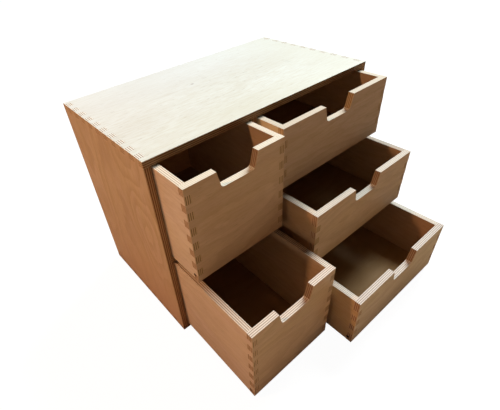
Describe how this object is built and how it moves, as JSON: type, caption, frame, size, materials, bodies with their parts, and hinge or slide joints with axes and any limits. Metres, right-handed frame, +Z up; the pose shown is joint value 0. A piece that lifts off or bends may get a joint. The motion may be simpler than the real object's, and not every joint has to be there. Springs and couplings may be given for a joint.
{
  "type": "desktop drawer chest",
  "caption": "Plywood desktop chest of small finger-jointed drawers in two columns; each drawer slides out by a notch cut in its front to hold craft supplies and small parts.",
  "frame": {"origin": "middle of the case's underside, on the surface that the chest stands on", "axes": "+Z up, front of the chest towards -Y, +X to the right seen from the front"},
  "size_m": [0.4, 0.415, 0.314],
  "materials": {
    "case_ply": "birch plywood, satin lacquer",
    "drawer_ply": "birch plywood, satin lacquer",
    "drawer_floor_ply": "thin birch plywood, satin lacquer"
  },
  "bodies": {
    "case": {"top_panel": "case_ply", "bottom_panel": "case_ply", "left_side": "case_ply", "right_side": "case_ply", "centre_divider": "case_ply", "back_panel": "case_ply", "left_shelf": "case_ply", "lower_right_shelf": "case_ply", "upper_right_shelf": "case_ply"},
    "upper_left_drawer": {"upper_left_drawer_front": "drawer_ply", "upper_left_drawer_left_side": "drawer_ply", "upper_left_drawer_right_side": "drawer_ply", "upper_left_drawer_back": "drawer_ply", "upper_left_drawer_bottom": "drawer_floor_ply"},
    "lower_left_drawer": {"lower_left_drawer_front": "drawer_ply", "lower_left_drawer_left_side": "drawer_ply", "lower_left_drawer_right_side": "drawer_ply", "lower_left_drawer_back": "drawer_ply", "lower_left_drawer_bottom": "drawer_floor_ply"},
    "upper_right_drawer": {"upper_right_drawer_front": "drawer_ply", "upper_right_drawer_left_side": "drawer_ply", "upper_right_drawer_right_side": "drawer_ply", "upper_right_drawer_back": "drawer_ply", "upper_right_drawer_bottom": "drawer_floor_ply"},
    "middle_right_drawer": {"middle_right_drawer_front": "drawer_ply", "middle_right_drawer_left_side": "drawer_ply", "middle_right_drawer_right_side": "drawer_ply", "middle_right_drawer_back": "drawer_ply", "middle_right_drawer_bottom": "drawer_floor_ply"},
    "lower_right_drawer": {"lower_right_drawer_front": "drawer_ply", "lower_right_drawer_left_side": "drawer_ply", "lower_right_drawer_right_side": "drawer_ply", "lower_right_drawer_back": "drawer_ply", "lower_right_drawer_bottom": "drawer_floor_ply"}
  },
  "joints": [
    {"name": "upper_left_drawer_slide", "type": "slide", "parent": "case", "child": "upper_left_drawer", "axis": [0, -1, 0], "range_m": [-0.058, 0.137]},
    {"name": "lower_left_drawer_slide", "type": "slide", "parent": "case", "child": "lower_left_drawer", "axis": [0, -1, 0], "range_m": [-0.152, 0.043]},
    {"name": "upper_right_drawer_slide", "type": "slide", "parent": "case", "child": "upper_right_drawer", "axis": [0, -1, 0], "range_m": [-0.045, 0.15]},
    {"name": "middle_right_drawer_slide", "type": "slide", "parent": "case", "child": "middle_right_drawer", "axis": [0, -1, 0], "range_m": [-0.108, 0.087]},
    {"name": "lower_right_drawer_slide", "type": "slide", "parent": "case", "child": "lower_right_drawer", "axis": [0, -1, 0], "range_m": [-0.19, 0.005]}
  ]
}
